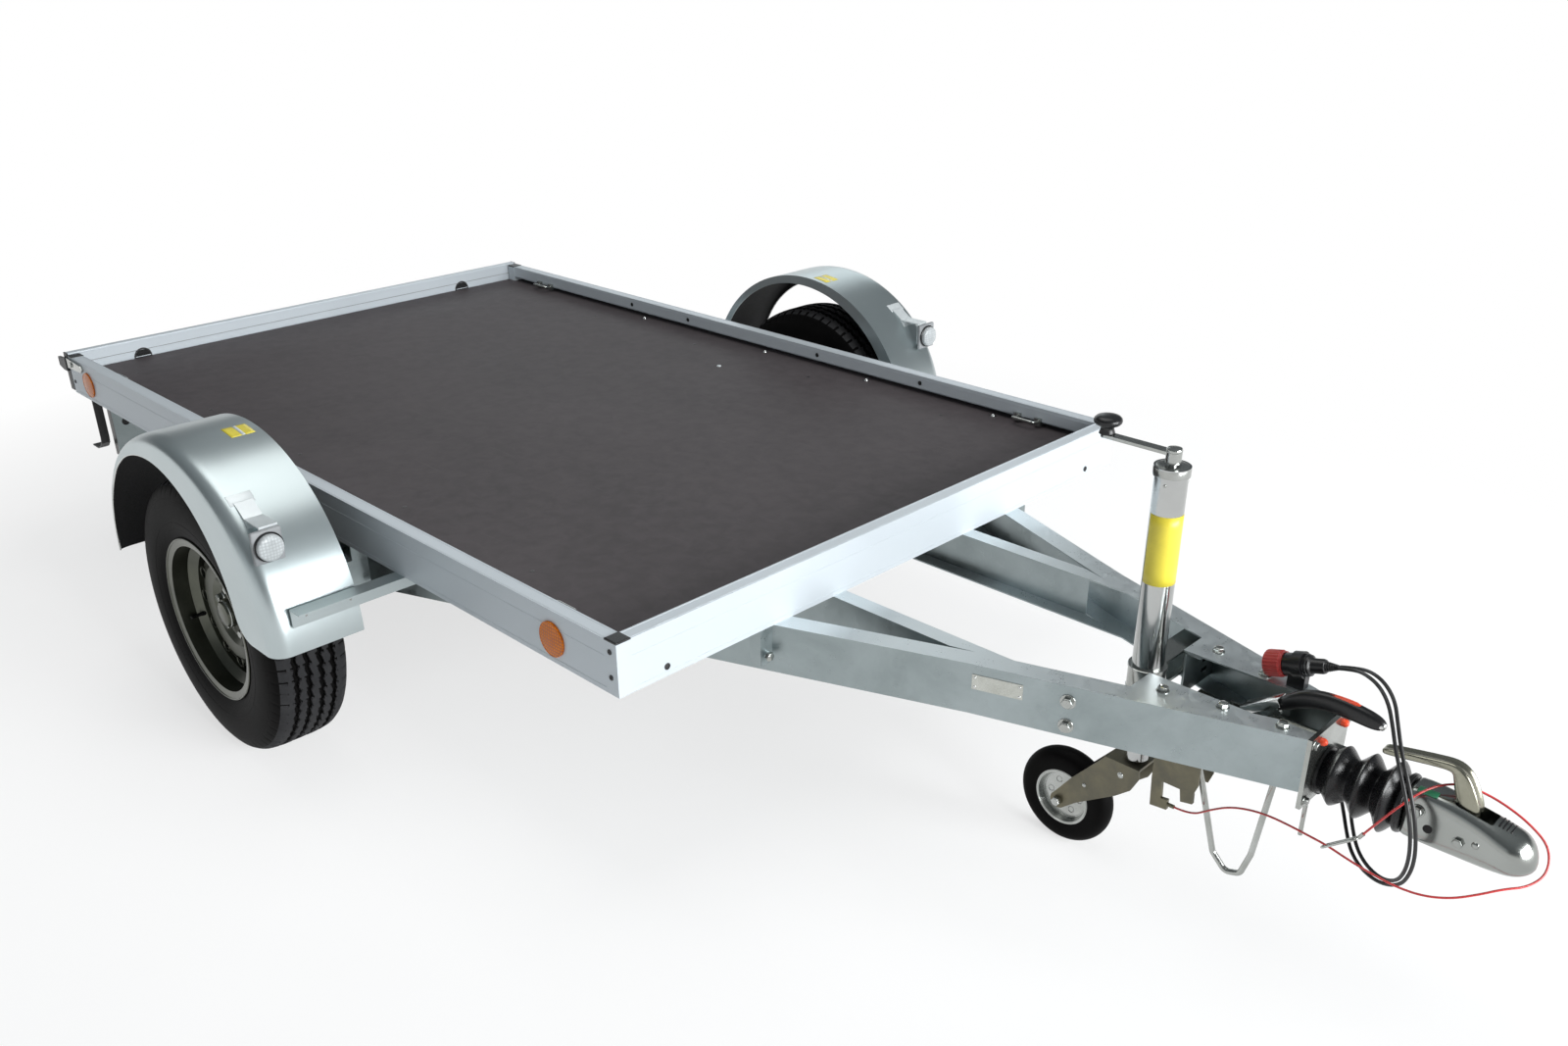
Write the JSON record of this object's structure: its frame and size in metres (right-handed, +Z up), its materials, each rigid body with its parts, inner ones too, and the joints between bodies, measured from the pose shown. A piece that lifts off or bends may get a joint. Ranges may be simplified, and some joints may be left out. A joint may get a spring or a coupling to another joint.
{
  "type": "flatbed trailer",
  "caption": "Single-axle flatbed trailer with braked V drawbar, low rail frame, plywood floor, hinged tailboard, mudguards, jockey wheel and ball coupling.",
  "frame": {"origin": "on the ground under the middle of the trailer, measured without the cords and the plug", "axes": "+X forward towards the coupling, +Y left, +Z up"},
  "size_m": [3.9299, 2.168, 0.929],
  "materials": {
    "rail_aluminium": "anodised",
    "galvanised_steel": "hot-dip galvanised",
    "zinc_steel": "zinc plated",
    "olive_zinc": "yellow chromated zinc",
    "floor_ply": "film faced plywood",
    "tyre_rubber": "matt",
    "black_rubber": "satin",
    "black_plastic": "satin",
    "grey_plastic": "satin",
    "red_plastic": "gloss",
    "amber_reflector": "reflector",
    "clear_lamp": "clear lens",
    "red_lamp": "red lens",
    "rim_silver": "silver paint",
    "black_paint": "black coating",
    "cast_zinc": "zinc plated casting",
    "white_metal": "white coating",
    "red_cable": "plastic sleeve"
  },
  "bodies": {
    "chassis": {"axle_tube": "galvanised_steel", "bellows": "black_rubber", "brake_plates": "black_paint", "breakaway_cable": "red_cable", "cable_gland": "black_plastic", "carabiner": "zinc_steel", "chassis_beam_left": "galvanised_steel", "chassis_beam_right": "galvanised_steel", "corner_caps": "black_plastic", "coupling_head": "cast_zinc", "cross_members": "galvanised_steel", "drawbar_left": "galvanised_steel", "drawbar_right": "galvanised_steel", "floor_panel": "floor_ply", "front_board": "rail_aluminium", "jockey_bracket": "zinc_steel", "jockey_outer_tube": "zinc_steel", "lamp_panels": "galvanised_steel", "lashing_rings": "zinc_steel", "latch_levers": "zinc_steel", "linkage_bracket": "olive_zinc", "marker_brackets": "white_metal", "marker_lamps": "clear_lamp", "mudguard_left": "galvanised_steel", "mudguard_right": "galvanised_steel", "mudguard_stays": "galvanised_steel", "overrun_housing": "zinc_steel", "plug": "black_plastic", "plug_cap": "red_plastic", "plug_holder": "grey_plastic", "power_cable": "black_rubber", "power_cable_second": "black_rubber", "rear_lamp_guards": "black_paint", "rear_lamps": "red_lamp", "side_rail_left": "rail_aluminium", "side_rail_right": "rail_aluminium", "side_reflectors": "amber_reflector", "support_loop": "zinc_steel", "swing_arms": "zinc_steel", "tailboard_hinge_pins": "zinc_steel"},
    "wheel_right": {"tyre_right": "tyre_rubber", "rim_right": "rim_silver", "hub_right": "cast_zinc"},
    "wheel_left": {"tyre_left": "tyre_rubber", "rim_left": "rim_silver", "hub_left": "cast_zinc"},
    "tailboard": {"tailboard": "rail_aluminium", "tailboard_catches": "black_paint", "tailboard_hinge_leaves": "zinc_steel"},
    "brake_lever": {"brake_lever": "zinc_steel", "lever_grip": "black_plastic"},
    "coupling_handle": {"coupling_handle": "zinc_steel"},
    "jockey_leg": {"jockey_inner_tube": "zinc_steel"},
    "jockey_fork": {"jockey_fork": "olive_zinc"},
    "jockey_wheel": {"jockey_tyre": "tyre_rubber", "jockey_rim": "rim_silver"},
    "jockey_crank": {"jockey_crank": "zinc_steel", "crank_knob": "black_plastic"}
  },
  "joints": [
    {"name": "wheel_spin_right", "type": "hinge", "parent": "chassis", "child": "wheel_right", "pos_m": [-0.502, -0.972, 0.325], "axis": [0, 1, 0], "continuous": true},
    {"name": "wheel_spin_left", "type": "hinge", "parent": "chassis", "child": "wheel_left", "pos_m": [-0.502, 0.972, 0.325], "axis": [0, 1, 0], "continuous": true},
    {"name": "tailboard_hinge", "type": "hinge", "parent": "chassis", "child": "tailboard", "pos_m": [-1.9025, 0, 0.482], "axis": [0, -1, 0], "range_deg": [0, 175]},
    {"name": "brake_lever_hinge", "type": "hinge", "parent": "chassis", "child": "brake_lever", "pos_m": [1.432, 0, 0.432], "axis": [0, -1, 0], "range_deg": [0, 80]},
    {"name": "coupling_handle_hinge", "type": "hinge", "parent": "chassis", "child": "coupling_handle", "pos_m": [1.844, 0, 0.416], "axis": [0, 1, 0], "range_deg": [0, 45]},
    {"name": "jockey_lift", "type": "slide", "parent": "chassis", "child": "jockey_leg", "axis": [0, 0, 1], "range_m": [0, 0.12]},
    {"name": "jockey_swivel", "type": "hinge", "parent": "jockey_leg", "child": "jockey_fork", "pos_m": [1.247, 0, 0.25], "axis": [0, 0, 1], "range_deg": [-90, 90]},
    {"name": "jockey_wheel_spin", "type": "hinge", "parent": "jockey_fork", "child": "jockey_wheel", "pos_m": [1.103, 0, 0.105], "axis": [0, 1, 0], "continuous": true},
    {"name": "jockey_crank_turn", "type": "hinge", "parent": "chassis", "child": "jockey_crank", "pos_m": [1.247, 0, 0.88], "axis": [0, 0, 1], "continuous": true}
  ]
}
